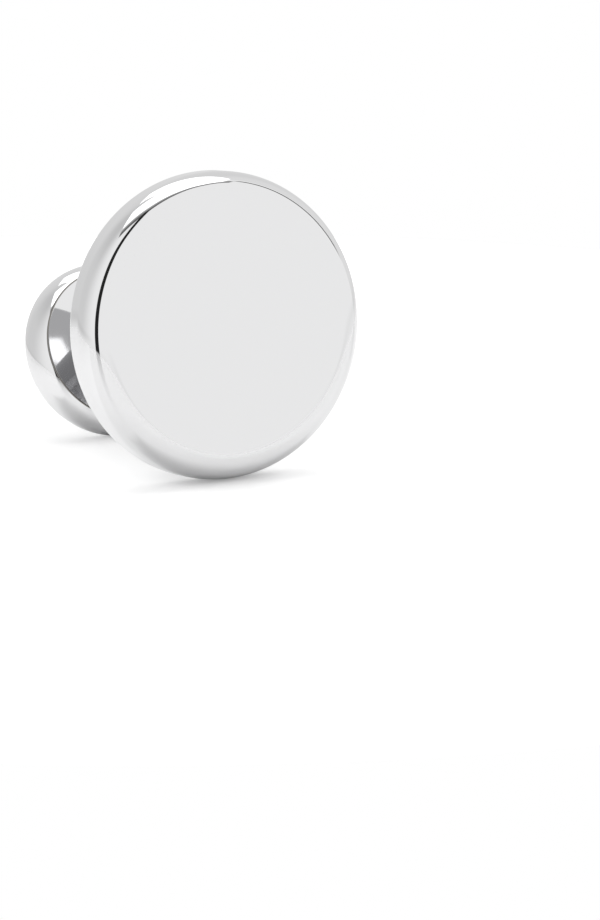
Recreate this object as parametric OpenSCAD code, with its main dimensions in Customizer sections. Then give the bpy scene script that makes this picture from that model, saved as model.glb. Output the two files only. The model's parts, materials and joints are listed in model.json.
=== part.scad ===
// Cufflink with a round polished face, a curved post and a fixed round button back.
// It lies on a table on the rims of its two discs, with the post bowed upwards.
// The face looks towards -Y and a little up, and the table is the plane z = 0.

/* [Face disc] */
// Diameter of the face disc
face_d = 19; // [18:0.5:24]
// Thickness of the face disc
face_t = 3.1; // [2.8:0.1:4.5]
// Radius of the wide soft edge round the face
face_front_round = 1.7; // [0.6:0.1:2]
// Radius of the small edge round the back of the face disc
face_rear_round = 0.5; // [0.2:0.1:0.6]

/* [Button back] */
// Diameter of the button
button_d = 11.2; // [9:0.2:11.8]
// Thickness of the button
button_t = 2.6; // [2.6:0.1:3.2]
// Radius of the wide barrel edge that looks towards the face disc
button_inner_round = 2.2; // [1.2:0.1:2.2]
// Angle at which the barrel edge meets the flat side, in degrees
button_inner_angle = 40; // [40:1:60]
// Radius of the outer edge
button_outer_round = 0.9; // [0.4:0.1:0.9]

/* [Post] */
// Straight distance between the two discs, from centre to centre of the faces that hold the cuff
cuff_gap = 13.2; // [11:0.1:15]
// Diameter of the post
post_d = 3; // [2.4:0.1:4]
// Angle that the post bends through, in degrees
post_bend = 18; // [6:1:20]
// Straight length of the post at each end
post_end = 1; // [0.8:0.1:2]

/* [Tenons and sockets] */
// Diameter of the tenons turned on the ends of the post
tenon_d = 2; // [1.2:0.1:2.2]
// Chamfer at the tip of each tenon
tenon_chamfer = 0.2; // [0.1:0.05:0.3]
// Depth of the socket in the face disc
face_socket_depth = 1.5; // [0.8:0.1:1.8]
// Depth of the socket in the button
button_socket_depth = 1.2; // [0.8:0.1:1.4]
// Room for the filler metal round each tenon and at its tip
braze_gap = 0.05; // [0.02:0.01:0.1]

/* [Brazed fillets] */
// Leg of the fillet between the face disc and the post
face_fillet = 0.6; // [0.3:0.1:0.8]
// Leg of the fillet between the button and the post
button_fillet = 0.5; // [0.3:0.1:0.8]
// Thickness that each fillet keeps at its two edges
fillet_land = 0.05; // [0.03:0.01:0.1]

/* [Hidden] */
$fn = 96;
overrun = 0.5;

face_r = face_d / 2;
button_r = button_d / 2;
post_r = post_d / 2;
tenon_r = tenon_d / 2;

// The post is an arc between two short straight ends, so each disc stands square to its end of the post.
half_bend = post_bend / 2;
arc_r = (cuff_gap / 2 - post_end * cos(half_bend)) / sin(half_bend);
arc_centre_z = post_end * sin(half_bend) - arc_r * cos(half_bend);

// Places of the edge rounds where the link meets the table and where it reaches furthest.
// Each is [y, z] before the link is laid down, with the chord of the post along Y.
function on_face(back, out) = [
    -back * cos(half_bend) + out * sin(half_bend),
    -back * sin(half_bend) - out * cos(half_bend)];
function on_button(back, out) = [
    cuff_gap + back * cos(half_bend) - out * sin(half_bend),
    -back * sin(half_bend) - out * cos(half_bend)];
face_foot = on_face(face_rear_round, face_r - face_rear_round);
face_nose = on_face(face_t - face_front_round, face_r - face_front_round);
button_foot = on_button(button_t - button_outer_round, button_r - button_outer_round);
button_tail = on_button(button_t - button_outer_round, button_outer_round - button_r);

// The link is tipped until both feet rest on the table.
foot_step = button_foot - face_foot;
lie = asin((button_outer_round - face_rear_round) / norm(foot_step)) - atan2(foot_step[1], foot_step[0]);
function laid_y(place) = place[0] * cos(lie) - place[1] * sin(lie);
function laid_z(place) = place[0] * sin(lie) + place[1] * cos(lie);
lift = face_rear_round - laid_z(face_foot);
reach_front = laid_y(face_nose) - face_front_round;
reach_back = laid_y(button_tail) + button_outer_round;
centring = -(reach_front + reach_back) / 2;

// Lays the finished link on the table, centred front to back.
module laid_down() {
    translate([0, centring, lift]) rotate([lie, 0, 0]) children();
}

// Frame of the face disc: z = 0 is its back, +z runs out through the face.
module at_face() {
    laid_down() rotate([90 + half_bend, 0, 0]) children();
}

// Frame of the button: z = 0 is the side that holds the cuff, +z runs towards the face disc.
module at_button() {
    laid_down() translate([0, cuff_gap, 0]) rotate([90 - half_bend, 0, 0]) children();
}

// Half of a disc's section, from the axis outwards, with a round at its lower and its upper corner.
// At low_angle 0 the lower round runs smoothly into the flat, and above 0 it meets the flat in a crisp edge.
module disc_section(radius, thickness, low_round, high_round, low_angle = 0) {
    difference() {
        square([radius, thickness]);
        translate([radius - high_round, thickness - high_round]) corner(high_round);
        translate([radius - low_round, low_round * cos(low_angle)]) mirror([0, 1]) corner(low_round);
    }
}

// What a round takes off a square corner, with the centre of the round at the origin.
module corner(round) {
    difference() {
        square(round + overrun);
        circle(r = round);
    }
}

// Blind hole that takes a tenon, open at z = 0.
module socket(depth) {
    translate([0, 0, -overrun]) cylinder(r = tenon_r + braze_gap, h = depth + overrun);
}

// One end of the post, running along +y from y = 0: a straight stub and then a tenon.
module post_tip(depth) {
    tip = post_end + depth - braze_gap;
    rotate([-90, 0, 0]) {
        cylinder(r = post_r, h = post_end);
        cylinder(r = tenon_r, h = tip - tenon_chamfer);
        translate([0, 0, tip - tenon_chamfer])
            cylinder(r1 = tenon_r, r2 = tenon_r - tenon_chamfer, h = tenon_chamfer);
    }
}

// Ring of filler metal with a hollow outline, below z = 0, in the corner round the post.
module braze_ring(leg) {
    rotate_extrude() difference() {
        translate([post_r, -leg]) square(leg);
        translate([post_r + leg + fillet_land, -leg - fillet_land]) circle(r = leg);
    }
}

// Turned disc with the flat polished face, a wide soft edge and a blind socket in its back.
module face_disc() {
    color([0.87, 0.88, 0.89]) at_face() difference() {
        rotate_extrude() disc_section(face_r, face_t, face_rear_round, face_front_round);
        socket(face_socket_depth);
    }
}

// Curved rod with a tenon turned on each end.
module post() {
    color([0.83, 0.84, 0.85]) laid_down() translate([0, cuff_gap / 2, arc_centre_z])
        rotate([0, -90, 0]) rotate([0, 0, -half_bend]) union() {
            rotate_extrude(angle = post_bend) translate([arc_r, 0]) circle(r = post_r);
            translate([arc_r, 0, 0]) mirror([0, 1, 0]) post_tip(face_socket_depth);
            rotate([0, 0, post_bend]) translate([arc_r, 0, 0]) post_tip(button_socket_depth);
        }
}

// Turned button with a barrel edge and a blind socket in the side that holds the cuff.
module button_back() {
    color([0.85, 0.86, 0.87]) at_button() mirror([0, 0, 1]) difference() {
        rotate_extrude()
            disc_section(button_r, button_t, button_inner_round, button_outer_round, button_inner_angle);
        socket(button_socket_depth);
    }
}

// Filler metal drawn into the corner between the face disc and the post.
module face_braze() {
    color([0.79, 0.79, 0.78]) at_face() braze_ring(face_fillet);
}

// Filler metal drawn into the corner between the button and the post.
module button_braze() {
    color([0.79, 0.79, 0.78]) at_button() mirror([0, 0, 1]) braze_ring(button_fillet);
}

face_disc();
post();
button_back();
face_braze();
button_braze();
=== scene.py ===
import json
import math

import bpy
import numpy as np
from mathutils import Matrix


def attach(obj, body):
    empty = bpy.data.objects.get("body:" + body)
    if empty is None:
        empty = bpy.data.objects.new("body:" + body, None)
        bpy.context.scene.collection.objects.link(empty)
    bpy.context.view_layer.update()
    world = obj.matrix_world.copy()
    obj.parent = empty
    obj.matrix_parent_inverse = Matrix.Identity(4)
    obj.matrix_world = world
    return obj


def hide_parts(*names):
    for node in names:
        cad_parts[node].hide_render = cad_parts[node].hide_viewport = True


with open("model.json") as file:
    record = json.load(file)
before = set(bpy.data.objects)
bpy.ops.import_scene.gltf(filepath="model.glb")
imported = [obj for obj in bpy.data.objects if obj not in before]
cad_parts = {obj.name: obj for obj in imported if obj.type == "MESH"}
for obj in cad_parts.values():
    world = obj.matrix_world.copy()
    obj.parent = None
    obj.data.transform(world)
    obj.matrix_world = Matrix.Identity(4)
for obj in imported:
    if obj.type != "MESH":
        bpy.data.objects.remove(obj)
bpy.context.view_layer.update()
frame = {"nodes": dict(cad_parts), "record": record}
mounts = {mount["name"]: mount for mount in frame["record"]["mounts"]}
millimetre = 0.001
print("frame loaded:", sorted(frame["nodes"]))


# Shader maths

class Wire:
    # An output socket of a node tree. Python's operators on it add Math nodes to that tree.
    def __init__(self, tree, socket):
        self.tree, self.socket = tree, socket

    def node(self, kind, settings=None, inputs=None, output=0):
        return addNode(self.tree, kind, settings, inputs, output)

    def outputs(self, *names):
        # Outputs of the node that this one belongs to
        return [Wire(self.tree, self.socket.node.outputs[name]) for name in names]

    def maths(self, operation, *others):
        return combine(self.tree, operation, self, *others)

    def __add__(self, other):
        return self.maths("ADD", other)

    def __sub__(self, other):
        return self.maths("SUBTRACT", other)

    def __rsub__(self, other):
        return combine(self.tree, "SUBTRACT", other, self)

    def __mul__(self, other):
        return self.maths("MULTIPLY", other)

    def __truediv__(self, other):
        return self.maths("DIVIDE", other)

    def __rtruediv__(self, other):
        return combine(self.tree, "DIVIDE", other, self)

    __radd__, __rmul__ = __add__, __mul__

    def vector(self, operation, other=(0, 0, 0), output=0):
        return self.node("ShaderNodeVectorMath", {"operation": operation}, {0: self, 1: other}, output)

    def rise(self, low, high):
        # 0 below low, 1 above high and a smooth step between them
        smooth = {"interpolation_type": "SMOOTHSTEP"}
        return self.node("ShaderNodeMapRange", smooth, {0: self, 1: low, 2: high})

    def band(self, low, high, soft):
        # 1 between low and high, falling to 0 over soft on either side
        return self.rise(low - soft, low + soft) * (1 - self.rise(high - soft, high + soft))

    def blend(self, low, high):
        # low where this value is 0 and high where it is 1
        return low + (high - low) * self


def addNode(tree, kind, settings=None, inputs=None, output=0):
    node = tree.nodes.new(kind)
    for name, value in (settings or {}).items():
        setattr(node, name, value)
    for name, value in (inputs or {}).items():
        if isinstance(value, Wire):
            tree.links.new(value.socket, node.inputs[name])
        else:
            node.inputs[name].default_value = value
    return Wire(tree, node.outputs[output]) if node.outputs else None


def combine(tree, operation, *values):
    return addNode(tree, "ShaderNodeMath", {"operation": operation}, dict(enumerate(values)))


def mixColour(factor, low, high):
    # The colour low where factor is 0 and the colour high where it is 1. Inputs 6 and 7 and output 2 of a
    # Mix node are the ones for colours.
    return factor.node("ShaderNodeMix", {"data_type": "RGBA"}, {0: factor, 6: low, 7: high}, 2)


def smallest(wires):
    least = wires[0]
    for wire in wires[1:]:
        least = least.maths("MINIMUM", wire)
    return least


def newMaterial(name):
    material = bpy.data.materials.new(name)
    material.use_nodes = True
    material.node_tree.nodes.clear()
    return material, material.node_tree


# Camera

camera = {
    "azimuth": -26.41,  # degrees round the link, 0 looks along +Y
    "elevation": 11.27,
    "distance": 0.4,
    "lens": 253.85,
    "sensor": 36,
    "right": 5.705 * millimetre,  # how far right of the disc's back the camera aims
    "up": -8.411 * millimetre,
    "clip": (0.01, 10),
}


def makeCamera(target):
    turn, rise = math.radians(camera["azimuth"]), math.radians(camera["elevation"])
    level = math.cos(rise)
    back = np.array([math.sin(turn) * level, -math.cos(turn) * level, math.sin(rise)])
    right = np.array([math.cos(turn), math.sin(turn), 0])
    up = np.cross(back, right)
    place = target + back * camera["distance"]
    aim = target + right * camera["right"] + up * camera["up"]
    data = bpy.data.cameras.new("camera")
    data.lens = camera["lens"]
    data.sensor_fit = "VERTICAL"
    data.sensor_width = data.sensor_height = camera["sensor"]
    data.clip_start, data.clip_end = camera["clip"]
    eye = bpy.data.objects.new("camera", data)
    outward = place - aim
    outward /= np.linalg.norm(outward)
    side = np.cross([0, 0, 1], outward)
    side /= np.linalg.norm(side)
    pose = np.eye(4)
    pose[:3] = np.stack([side, np.cross(outward, side), outward, place], axis=1)
    eye.matrix_world = Matrix(pose.tolist())
    bpy.context.scene.collection.objects.link(eye)
    bpy.context.scene.camera = eye
    print("camera placed")


# Surfaces

meshing = {
    "support": 0.02 * millimetre,  # how close to the ends of a straight line its extra points lie
    "supportShare": 0.3,  # and the most that this may be of its length
    "repeat": 1e-9,  # points closer together than this are one
    "frontSteps": 64,
    "rearSteps": 48,
    "edgeSteps": 16,
    "bendSteps": 60,
    "filletSteps": 24,
    "discAround": 288,
    "postAround": 128,
    "filletAround": 160,
    "sharpAngle": 35,
}


def straight(start, end):
    # The straight line from start to end. A point close to each end keeps the shading flat up to there.
    start, end = np.array(start, float), np.array(end, float)
    length = np.linalg.norm(end - start)
    near = min(meshing["support"] / length, meshing["supportShare"])
    return start + (end - start) * np.array([[0], [near], [0.5], [1 - near], [1]])


def rounded(centre, radius, start, end, steps):
    # The arc of a circle round centre: centre + radius * (cos, sin) of angles from start to end degrees
    turn = np.radians(np.linspace(start, end, steps))
    return np.array(centre) + radius * np.stack([np.cos(turn), np.sin(turn)], axis=1)


def joined(*parts):
    # All parts one after the other, without the points that repeat
    line = np.concatenate(parts)
    step = np.linalg.norm(np.diff(line, axis=0), axis=1)
    return line[np.concatenate([[True], step > meshing["repeat"]])]


def turned(profile, origin, axis, around=meshing["discAround"]):
    # Surface of revolution: origin + height * axis + radius * (side * cos + up * sin) of the turn
    side = np.array([1.0, 0, 0])
    up = np.cross(axis, side)
    turn = np.linspace(0, 2 * np.pi, around, endpoint=False)[None, :, None]
    radius, height = profile[:, 0][:, None, None], profile[:, 1][:, None, None]
    return origin + height * axis + radius * (side * np.cos(turn) + up * np.sin(turn))


def makePiece(name, grid, material, ring=False):
    # grid has one row of points for each step along the profile, each row closed round the axis. A ring's
    # last row joins its first. Any other piece has its first and last rows shrunk to a point each.
    rows, around = grid.shape[:2]
    number = np.arange(rows * around).reshape(rows, around)
    if not ring:
        number[0], number[-1] = number[0, 0], number[-1, 0]
    following = np.roll(number, -1, axis=0) if ring else number[1:]
    here = number if ring else number[:-1]
    quads = np.stack([here, np.roll(here, -1, 1), np.roll(following, -1, 1), following], axis=-1)
    used, compact = np.unique(quads, return_inverse=True)
    points, quads = grid.reshape(-1, 3)[used], compact.reshape(-1, 4)
    first, second, third, fourth = (points[quads[:, k]] for k in range(4))
    volume = (np.cross(first, second) * third + np.cross(first, third) * fourth).sum()
    if volume < 0:
        quads = quads[:, ::-1]
    faces = [list(dict.fromkeys(face)) for face in quads.tolist()]
    mesh = bpy.data.meshes.new(name)
    mesh.from_pydata(points.tolist(), [], faces)
    mesh.validate()
    mesh.shade_smooth()
    mesh.set_sharp_from_angle(angle=math.radians(meshing["sharpAngle"]))
    mesh.materials.append(material)
    piece = bpy.data.objects.new(name, mesh)
    bpy.context.scene.collection.objects.link(piece)
    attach(piece, "root")
    print("made", name, len(points), "points")
    return piece


# Places of the two discs, from the record's mounts

discSize = {
    "radius": 9.5 * millimetre,
    "thickness": 3.1 * millimetre,
    "frontRound": 1.7 * millimetre,
    "rearRound": 0.5 * millimetre,
    "rearAngle": 0,  # degrees at which the rear round meets the flat
    "socketRadius": 1.05 * millimetre,
    "socketDepth": 1.5 * millimetre,
}
buttonSize = {
    "radius": 5.6 * millimetre,
    "thickness": 2.6 * millimetre,
    "frontRound": 0.9 * millimetre,
    "rearRound": 2.2 * millimetre,
    "rearAngle": 40,
    "socketRadius": 1.05 * millimetre,
    "socketDepth": 1.2 * millimetre,
}
postSize = {
    "radius": 1.5 * millimetre,
    "straightEnd": 1.0 * millimetre,
    "tenonRadius": 1.0 * millimetre,
    "tenonChamfer": 0.2 * millimetre,
    "play": 0.05 * millimetre,
}
polishedEdge = 0.2 * millimetre
filletSize = {
    "faceLeg": 0.6 * millimetre,
    "buttonLeg": 0.5 * millimetre,
    "sunk": 0.01 * millimetre,  # how far it reaches into the post and the disc
}


def discProfile(size):
    # From the socket's floor out over the back, round the rim and over the face to the axis, as
    # (radius, height). Where the rear round meets the flat at an angle, a polished edge that touches
    # both joins them.
    radius, thick = size["radius"], size["thickness"]
    front, rear, angle = size["frontRound"], size["rearRound"], size["rearAngle"]
    bore, depth = size["socketRadius"], size["socketDepth"]
    middle = (radius - rear, rear * math.cos(math.radians(angle)))
    rearSteps = meshing["rearSteps"]
    rim = [straight((bore, 0), (middle[0], 0)), rounded(middle, rear, -90, 0, rearSteps)]
    if angle:
        leaning = math.acos((middle[1] - polishedEdge) / (rear - polishedEdge))
        turnsAt = math.degrees(leaning) - 90
        edge = (middle[0] + (rear - polishedEdge) * math.sin(leaning), polishedEdge)
        rim = [straight((bore, 0), (edge[0], 0)),
               rounded(edge, polishedEdge, -90, turnsAt, meshing["edgeSteps"]),
               rounded(middle, rear, turnsAt, 0, rearSteps)]
    return joined(
        straight((0, depth), (bore, depth)),
        straight((bore, depth), (bore, 0)),
        *rim,
        straight((radius, middle[1]), (radius, thick - front)),
        rounded((radius - front, thick - front), front, 0, 90, meshing["frontSteps"]),
        straight((radius - front, thick), (0, thick)),
    )


def mountFrame(name, thickness):
    # The centre of a disc's cuff side and the direction from there to its outer face
    outward = np.array(mounts[name]["axis"], float)
    return np.array(mounts[name]["pos_m"], float) - outward * thickness, outward


faceCentre, faceAxis = mountFrame("face", discSize["thickness"])
buttonCentre, buttonAxis = mountFrame("button_outer_face", buttonSize["thickness"])


def postRings():
    # A circle carried along the post: straight stub, arc in the plane x = 0 and straight stub, with a
    # tenon at each end
    start, startDirection = faceCentre, -faceAxis
    end, endDirection = buttonCentre, buttonAxis
    stub = postSize["straightEnd"]
    arcStart, arcEnd = start + startDirection * stub, end - endDirection * stub
    bend = math.acos(float(np.dot(startDirection, endDirection)))
    reach = np.linalg.norm(arcEnd - arcStart) / 2 / math.sin(bend / 2)
    across = np.array([1.0, 0, 0])
    inward = np.cross(across, startDirection)
    inward *= np.sign(np.dot(inward, arcEnd - arcStart))
    centre = arcStart + inward * reach
    radius, tenon = postSize["radius"], postSize["tenonRadius"]
    chamfer, play = postSize["tenonChamfer"], postSize["play"]
    faceTip, buttonTip = discSize["socketDepth"] - play, buttonSize["socketDepth"] - play
    arcLength = bend * reach
    total = arcLength + 2 * stub
    bendSteps = meshing["bendSteps"]
    stations = joined(
        straight((-faceTip, 0), (-faceTip, tenon - chamfer)),
        straight((-faceTip, tenon - chamfer), (-faceTip + chamfer, tenon)),
        straight((-faceTip + chamfer, tenon), (0, tenon)),
        straight((0, tenon), (0, radius)),
        straight((0, radius), (stub, radius)),
        np.stack([np.linspace(stub, stub + arcLength, bendSteps), np.full(bendSteps, radius)], axis=1),
        straight((total - stub, radius), (total, radius)),
        straight((total, radius), (total, tenon)),
        straight((total, tenon), (total + buttonTip - chamfer, tenon)),
        straight((total + buttonTip - chamfer, tenon), (total + buttonTip, tenon - chamfer)),
        straight((total + buttonTip, tenon - chamfer), (total + buttonTip, 0)),
    )
    along, size = stations[:, 0], stations[:, 1]
    swept = np.clip((along - stub) / arcLength, 0, 1) * bend
    beyond = along - stub - swept * reach
    outward = -inward * np.cos(swept)[:, None] + startDirection * np.sin(swept)[:, None]
    onward = startDirection * np.cos(swept)[:, None] + inward * np.sin(swept)[:, None]
    middle = centre + outward * reach + onward * beyond[:, None]
    turn = np.linspace(0, 2 * np.pi, meshing["postAround"], endpoint=False)[None, :, None]
    ring = across * np.cos(turn) + outward[:, None, :] * np.sin(turn)
    return middle[:, None, :] + ring * size[:, None, None]


def filletRing(leg, origin, axis):
    # Section between post and disc with a hollow quarter circle, closed on itself and turned round the axis
    inner, sunk = postSize["radius"], filletSize["sunk"]
    section = joined(
        rounded((inner + leg, -leg), leg, 180, 90, meshing["filletSteps"]),
        straight((inner + leg, sunk), (inner - sunk, sunk)),
        straight((inner - sunk, sunk), (inner - sunk, -leg)),
    )
    return turned(section, origin, axis, meshing["filletAround"])


# Finishes

wiping = {
    "cloudScale": 230,
    "cloudDetail": 4,
    "cloudRoughness": 0.6,
    "cloudRange": (0.35, 0.75),
    "cloudDepth": 0.02,
    "lineTurn": (0.4, 0.9, 0.6),
    "lineStretch": (2600, 90, 420),
    "lineDetail": 3,
    "lineRoughness": 0.7,
    "lineRange": (0.62, 0.8),
    "lineDepth": 0.03,
}


def addSmears(place):
    # Roughness that a mirror finish picks up: soft clouds from wiping and fine hairlines in one direction
    clouds = place.node("ShaderNodeTexNoise", None, {
        "Vector": place, "Scale": wiping["cloudScale"], "Detail": wiping["cloudDetail"],
        "Roughness": wiping["cloudRoughness"]})
    drawn = place.node("ShaderNodeMapping", None, {
        "Vector": place, "Rotation": wiping["lineTurn"], "Scale": wiping["lineStretch"]})
    lines = place.node("ShaderNodeTexNoise", None, {
        "Vector": drawn, "Scale": 1, "Detail": wiping["lineDetail"], "Roughness": wiping["lineRoughness"]})
    return (clouds.rise(*wiping["cloudRange"]) * wiping["cloudDepth"]
            + lines.rise(*wiping["lineRange"]) * clouds * wiping["lineDepth"])


plating = {
    "colour": (0.80, 0.80, 0.805, 1),
    "cuffShadeColour": (0.57, 0.57, 0.58, 1),  # painted shade: the side that holds the cuff is darker, standing in for the shade it lies in where the button's flat mirrors it
    "edgeLineColour": (0.26, 0.25, 0.235, 1),  # painted reflection: a dark ring along the crisp edge round the button's flat, in place of the dark line that edge reflects
    "edgeLineWidth": 0.1 * millimetre,
    "outerStart": (0.02 * millimetre, 0.12 * millimetre),  # heights over the cuff side
    "farFlat": 0.05 * millimetre,  # how far under the button's outer face its turning marks begin
    "roughness": 0.022,
    "rings": 0.03,  # faint turning marks on the flats that a cuff or a hand covers
    "ringsPerMetre": 9000,
    "ringDetail": 2,
    "ringRoughness": 0.6,
    "bump": 0.05 * millimetre / 1000,
    "bumpStrength": 0.6,
}


def makePlating(name, centre, axis, thickness, edgeLineRadius=0):
    # Bright plating of a disc. Its cuff side is the plane through centre, and its outer side lies along the
    # axis. Only the button has a dark ring painted along the crisp edge of its flat, a painted reflection;
    # on the other disc the cuff side is darker, as painted shade.
    material, tree = newMaterial(name)
    place = addNode(tree, "ShaderNodeTexCoord", output="Object")
    offset = place.vector("SUBTRACT", tuple(centre))
    height = offset.vector("DOT_PRODUCT", tuple(axis), "Value")
    reach = offset.vector("LENGTH", output="Value")
    radius = (reach * reach - height * height).maths("SQRT")
    outside = height.rise(*plating["outerStart"])
    if edgeLineRadius:
        # painted reflection: a dark ring along the crisp edge of the button's flat
        half = plating["edgeLineWidth"] / 2
        edgeLine = radius.band(edgeLineRadius - half, edgeLineRadius + half, half / 3) * (1 - outside)
        colour = mixColour(edgeLine, plating["colour"], plating["edgeLineColour"])
        covered = height.rise(thickness - plating["farFlat"], thickness)
    else:
        # painted shade: the disc's cuff side is darker than its outer side
        colour = mixColour(outside, plating["cuffShadeColour"], plating["colour"])
        covered = 1 - outside
    turning = radius.node("ShaderNodeTexNoise", {"noise_dimensions": "1D"}, {
        "W": radius * plating["ringsPerMetre"], "Detail": plating["ringDetail"],
        "Roughness": plating["ringRoughness"]})
    bump = turning.node("ShaderNodeBump", None, {
        "Strength": plating["bumpStrength"], "Distance": plating["bump"], "Height": turning * covered})
    shader = place.node("ShaderNodeBsdfPrincipled", None, {
        "Base Color": colour, "Metallic": 1.0, "Normal": bump,
        "Roughness": plating["roughness"] + addSmears(place) + covered * turning * plating["rings"]})
    shader.node("ShaderNodeOutputMaterial", None, {"Surface": shader})
    return material


postPlate = {
    # painted shade: darker than the discs' plating, standing in for the shade the post lies in between the
    # discs
    "colour": (0.42, 0.42, 0.43, 1),
    "roughness": 0.022,
    "smears": 1.6,
}


def makePostPlating():
    material, tree = newMaterial("postPlating")
    place = addNode(tree, "ShaderNodeTexCoord", output="Object")
    # its grey colour is painted shade
    shader = place.node("ShaderNodeBsdfPrincipled", None, {
        "Base Color": postPlate["colour"], "Metallic": 1.0,
        "Roughness": postPlate["roughness"] + addSmears(place) * postPlate["smears"]})
    shader.node("ShaderNodeOutputMaterial", None, {"Surface": shader})
    return material


filler = {
    "colour": (0.76, 0.76, 0.755, 1),
    "darkColour": (0.56, 0.55, 0.53, 1),
    "colourRange": (0.4, 0.7),
    "waveScale": 900,
    "waveDetail": 3,
    "roughness": 0.09,
    "waveRoughness": 0.12,
    "ripple": 6 * millimetre / 1000,
    "rippleStrength": 0.7,
}


def makeFiller():
    # Plated solder: a little wavy and duller than the turned parts
    material, tree = newMaterial("fillerMetal")
    place = addNode(tree, "ShaderNodeTexCoord", output="Object")
    waves = place.node("ShaderNodeTexNoise", None, {
        "Vector": place, "Scale": filler["waveScale"], "Detail": filler["waveDetail"]})
    colour = mixColour(waves.rise(*filler["colourRange"]), filler["darkColour"], filler["colour"])
    bump = waves.node("ShaderNodeBump", None, {
        "Strength": filler["rippleStrength"], "Distance": filler["ripple"], "Height": waves})
    shader = place.node("ShaderNodeBsdfPrincipled", None, {
        "Base Color": colour, "Metallic": 1.0, "Normal": bump,
        "Roughness": filler["roughness"] + waves * filler["waveRoughness"]})
    shader.node("ShaderNodeOutputMaterial", None, {"Surface": shader})
    return material


# Pieces

crispEdge = buttonSize["radius"] - buttonSize["rearRound"] * (
    1 - math.sin(math.radians(buttonSize["rearAngle"])))
discPlating = makePlating("discPlating", faceCentre, faceAxis, discSize["thickness"])
buttonPlating = makePlating(
    "buttonPlating", buttonCentre, buttonAxis, buttonSize["thickness"], crispEdge)
postPlating = makePostPlating()
fillerMetal = makeFiller()
discSurface = turned(discProfile(discSize), faceCentre, faceAxis)
disc = makePiece("polishedDisc", discSurface, discPlating)
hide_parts("face_disc")
buttonSurface = turned(discProfile(buttonSize), buttonCentre, buttonAxis)
button = makePiece("polishedButton", buttonSurface, buttonPlating)
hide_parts("button_back")
post = makePiece("polishedPost", postRings(), postPlating)
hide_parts("post")
faceRing = filletRing(filletSize["faceLeg"], faceCentre, faceAxis)
faceFillet = makePiece("faceFillet", faceRing, fillerMetal, ring=True)
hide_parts("face_braze")
buttonRing = filletRing(filletSize["buttonLeg"], buttonCentre, buttonAxis)
buttonFillet = makePiece("buttonFillet", buttonRing, fillerMetal, ring=True)
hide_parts("button_braze")


# Studio

def flatSheet(name, points, material):
    mesh = bpy.data.meshes.new(name)
    mesh.from_pydata(points.tolist(), [], [list(range(len(points)))])
    mesh.materials.append(material)
    sheet = bpy.data.objects.new(name, mesh)
    bpy.context.scene.collection.objects.link(sheet)
    print("placed", name)
    return sheet


paper = {
    "radius": 0.075,
    "around": 96,
    "colour": (0.85, 0.85, 0.85, 1),
    "foot": (0, -8.1 * millimetre, 0),
    "cameraGlow": (0.24, 0.35),  # lower close to the disc's foot, a painted shadow, and full away from it
    "cameraAway": (2.2 * millimetre, 5 * millimetre),
    "glossyGlow": (0.18, 0.29),  # in front of the link, lower as painted shade, and beside and behind it
    "glossyBehind": (-6.5 * millimetre, -4 * millimetre),
    "shades": (-9.5 * millimetre, 5.8 * millimetre),  # where a strip without glow lies under each disc, a painted shadow that the metal mirrors
    "shadeSlope": 0.15,
    "shadeWidth": (0.2 * millimetre, 2.6 * millimetre),  # half width at full shade and at none
    "shadeLength": (7 * millimetre, 9 * millimetre),
    "gloss": 0.12,  # roughness of the sheen that the metal sees on the paper
    "refraction": 1.45,  # of the sheen, which makes it stronger at a slant
}


def makeFloor():
    material, tree = newMaterial("whitePaper")
    light = addNode(tree, "ShaderNodeLightPath")
    eye, glossy, clear = light.outputs("Is Camera Ray", "Is Glossy Ray", "Is Transmission Ray")
    place = addNode(tree, "ShaderNodeTexCoord", output="Object")
    # painted shadow: the glow that the camera sees dips close to the disc's foot
    away = place.vector("DISTANCE", paper["foot"], "Value").rise(*paper["cameraAway"])
    x, y = place.node("ShaderNodeSeparateXYZ", None, {0: place}).outputs("X", "Y")
    along = y - x * paper["shadeSlope"]
    ends = x.maths("ABSOLUTE").rise(*paper["shadeLength"])
    # painted shade: the glow that the metal sees is lower in front of the link and gone in a strip under
    # each disc
    sheen = along.rise(*paper["glossyBehind"]).blend(*paper["glossyGlow"])
    for middle in paper["shades"]:
        outside = (along - middle).maths("ABSOLUTE").rise(*paper["shadeWidth"])
        sheen = sheen * outside.maths("MAXIMUM", ends)
    glow = (eye + clear) * away.blend(*paper["cameraGlow"]) + glossy * sheen
    matt = light.node("ShaderNodeBsdfDiffuse", None, {"Color": paper["colour"]})
    lit = light.node("ShaderNodeEmission", None, {"Color": glow, "Strength": 1.0})
    both = light.node("ShaderNodeAddShader", None, {0: matt, 1: lit})
    polish = light.node("ShaderNodeBsdfAnisotropic", None, {
        "Color": (1, 1, 1, 1), "Roughness": paper["gloss"]})
    slant = light.node("ShaderNodeFresnel", None, {"IOR": paper["refraction"]})
    surface = light.node("ShaderNodeMixShader", None, {0: slant * glossy, 1: both, 2: polish})
    light.node("ShaderNodeOutputMaterial", None, {"Surface": surface})
    turn = np.linspace(0, 2 * np.pi, paper["around"], endpoint=False)
    points = paper["radius"] * np.stack([np.cos(turn), np.sin(turn), 0 * turn], axis=1)
    floor = flatSheet("floor", points, material)


# A small bright panel behind the link, which only the metal sees: by way of the disc's back it lights a
# patch on the button's flat. across and up are directions in the panel's own plane, and its corners are
# counted along them in millimetres.
panel = {
    "centre": (15.22 * millimetre, 19.05 * millimetre, 25.51 * millimetre),
    "across": (0.8954, -0.4452, 0),
    "up": (-0.1605, -0.3228, 0.9328),
    "corners": ((0.32, 0.72), (0.56, -0.44), (-0.19, -1.06), (-0.84, -0.64), (-1.02, 0.29), (-0.8, 1.05)),
    "glow": 2.6,
    "mirrorings": (1.4, 1.6),  # dark after one mirroring and lit after two
}


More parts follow.
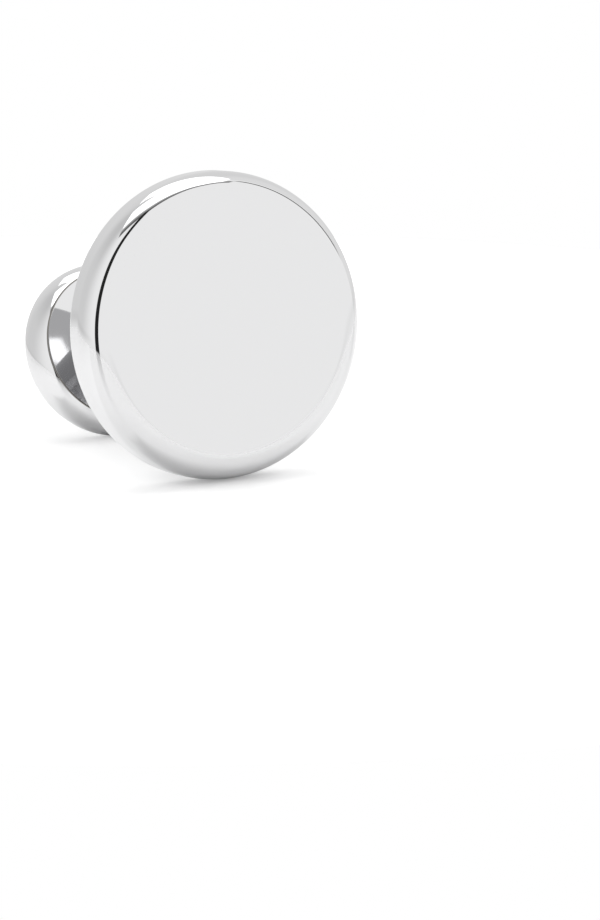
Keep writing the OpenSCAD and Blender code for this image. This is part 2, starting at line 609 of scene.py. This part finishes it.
def makePanel():
    material, tree = newMaterial("panelGlow")
    light = addNode(tree, "ShaderNodeLightPath")
    glossy, depth = light.outputs("Is Glossy Ray", "Glossy Depth")
    twice = glossy * depth.rise(*panel["mirrorings"])
    lit = light.node("ShaderNodeEmission", None, {"Color": (1, 1, 1, 1), "Strength": panel["glow"]})
    clear = light.node("ShaderNodeBsdfTransparent")
    surface = light.node("ShaderNodeMixShader", None, {0: twice, 1: clear, 2: lit})
    light.node("ShaderNodeOutputMaterial", None, {"Surface": surface})
    corners = np.array(panel["corners"]) * millimetre
    points = np.array(panel["centre"]) + corners @ np.array([panel["across"], panel["up"]])
    card = flatSheet("panel", points, material)


# Directions are taken from the camera's side: bearing in degrees to its right, height in degrees over the
# horizon. ahead and aside are where a direction meets a ceiling one unit up, so that a lamp there has
# straight edges. A rise is the upward part of a direction of length 1. A pair of numbers says where a
# change starts and where it ends, and a third one how far an edge is softened on either side.
studio = {
    "background": 1.0,
    "wall": 1.0,
    "leftWall": 0.735,
    "leftWallTop": 0.86,  # what is left of its light high up
    "leftWallHeight": (20, 55),
    "leftWallStart": (38, 98),  # degrees to the left
    "rearWall": (0.79, 0.86, 0.78),  # behind on the left, behind on the right and straight behind
    "rearLeftStart": (115, 150),  # degrees to the left
    "rearRightStart": (118, 124),
    "rearMiddleStart": (138, 162),
    "farPaper": 0.95,
    "farPaperEnd": (-9, -4),
    "floorLine": 0.93,
    "floorLineHeight": (-5.5, -2.5, 1.5),
    "floorLineLeft": (30, 60),
    "floorLineRight": (10, 40),
    "lowest": 0.03,  # below this rise the ceiling's coordinates are held
    "lamp": 2.0,
    "lampEdge": 0.012,
    "lampRise": (0.05, 0.1),
    # corners are ahead and aside, counted so that the lamp lies on the left of each edge
    "lampCorners": ((0.15, -0.59), (0.17, -0.12), (0.1, 0.2), (0.02, 0.4), (-0.11, 0.53), (-0.4, 0.5),
                    (-0.62, 0.25), (-1.1, -0.3), (-1.15, -0.5)),
    # missing on the lamp's left
    "notchCorners": ((-0.33, -0.64), (-0.33, -0.22), (-0.6, -0.46), (-0.62, -0.64)),
    "rim": (0.25, 0.1),  # width of the dark ceiling in front of the lamp, on the left and on the right
    "rimTaper": (-0.1, 0.45),
    "rimLight": (0.12, 0.97),  # away from the lamp and close to it
    "rimFading": 2.5,  # power with which it darkens
    "rimEdge": 0.03,
    "rimBearing": (-100, 108, 3),
    "rimAside": (-0.62, -0.58),
    "rimRise": (0.5, 0.6),
    "gap": (-30.4, -15.8),  # bearings of the two sides of a dark opening
    "gapLean": (8, 12),  # how far each side leans to the right on its way up
    "gapClimb": (40, 75),
    "gapEdge": 0.6,
    "gapHeight": (-8, 71, 1),
    "gapLight": 0.02,
    "strip": (121, -0.16, 2.5),  # bearing at the horizon, lean and half width of a narrow dark strip
    "stripEdge": 0.6,
    "stripHeight": (10, 56, 3),
    "stripLight": 0.05,
}


def insideOf(corners, ahead, aside):
    # The least distance inside the straight edges of an outline, below 0 outside it
    edges = []
    corners = np.array(corners)
    for corner, following in zip(corners, np.roll(corners, -1, axis=0)):
        inwards = np.array([corner[1] - following[1], following[0] - corner[0]])
        inwards /= np.linalg.norm(inwards)
        edges.append(ahead * float(inwards[0]) + aside * float(inwards[1]) - float(corner @ inwards))
    return smallest(edges)


def wallLight(bearing, height):
    # The walls, from the bright one on the right to the grey ones on the left and behind
    toLeft = 0 - bearing
    lowLeft = studio["leftWall"]
    leftWall = height.rise(*studio["leftWallHeight"]).blend(lowLeft, lowLeft * studio["leftWallTop"])
    light = toLeft.rise(*studio["leftWallStart"]).blend(studio["wall"], leftWall)
    behindLeft, behindRight, behind = studio["rearWall"]
    light = toLeft.rise(*studio["rearLeftStart"]).blend(light, behindLeft)
    rear = bearing.rise(*studio["rearMiddleStart"]).blend(behindRight, behind)
    light = bearing.rise(*studio["rearRightStart"]).blend(light, rear)
    # the paper's far end, with a thin shadow line where the walls stand on it
    sides = toLeft.rise(*studio["floorLineLeft"]) + bearing.rise(*studio["floorLineRight"])
    line = height.band(*studio["floorLineHeight"]) * sides
    light = height.rise(*studio["farPaperEnd"]).blend(studio["farPaper"], light)
    return light * (1 - line * (1 - studio["floorLine"]))


def openings(bearing, height):
    # The narrow strip and the wider gap between the walls, 1 where they are open
    middle, lean, halfWidth = studio["strip"]
    beside = bearing - height * lean
    strip = beside.band(middle - halfWidth, middle + halfWidth, studio["stripEdge"])
    climb, edge = height.rise(*studio["gapClimb"]), studio["gapEdge"]
    near, far = (bearing - climb * side - start for start, side in zip(studio["gap"], studio["gapLean"]))
    gap = near.rise(-edge, edge) * (1 - far.rise(-edge, edge))
    return strip * height.band(*studio["stripHeight"]), gap * height.band(*studio["gapHeight"])


def makeWorld():
    world = bpy.data.worlds.new("studio")
    bpy.context.scene.world = world
    world.use_nodes = True
    tree = world.node_tree
    tree.nodes.clear()
    direction = addNode(tree, "ShaderNodeTexCoord", output="Generated")
    x, y, z = direction.node("ShaderNodeSeparateXYZ", None, {0: direction}).outputs("X", "Y", "Z")
    turn, degrees = math.radians(camera["azimuth"]), 180 / math.pi
    towards = x * math.sin(turn) - y * math.cos(turn)
    across = x * math.cos(turn) + y * math.sin(turn)
    bearing = across.maths("ARCTAN2", towards) * degrees
    height = z.maths("ARCSINE") * degrees
    over = z.maths("MAXIMUM", studio["lowest"])
    ahead, aside = towards / over, across / over
    light = wallLight(bearing, height)
    # the overhead lamp, and the ceiling in front of it, which darkens away from the lamp and ends sharply
    soft, sharp = studio["lampEdge"], studio["rimEdge"]
    inside = insideOf(studio["lampCorners"], ahead, aside)
    notch = insideOf(studio["notchCorners"], ahead, aside).rise(-soft, soft)
    lamp = inside.rise(-soft, soft) * (1 - notch) * z.rise(*studio["lampRise"])
    fading = 1 + inside / aside.rise(*studio["rimTaper"]).blend(*studio["rim"])
    ceiling = fading.maths("MAXIMUM", 0).maths("POWER", studio["rimFading"]).blend(*studio["rimLight"])
    rim = fading.rise(-sharp, sharp) * bearing.band(*studio["rimBearing"])
    rim = rim * aside.rise(*studio["rimAside"]) * z.rise(*studio["rimRise"])
    light = rim.blend(light, ceiling)
    strip, gap = openings(bearing, height)
    light = gap.blend(strip.blend(light, studio["stripLight"]), studio["gapLight"])
    light = lamp.blend(light, studio["lamp"])
    # the camera itself sees a plain white background
    seen = addNode(tree, "ShaderNodeLightPath").blend(light, studio["background"])
    glow = seen.node("ShaderNodeBackground", None, {"Color": seen, "Strength": 1.0})
    glow.node("ShaderNodeOutputWorld", None, {"Surface": glow})
    print("studio lit")


makeCamera(faceCentre)
makeFloor()
makePanel()
makeWorld()
bpy.context.scene.view_settings.view_transform = "Standard"
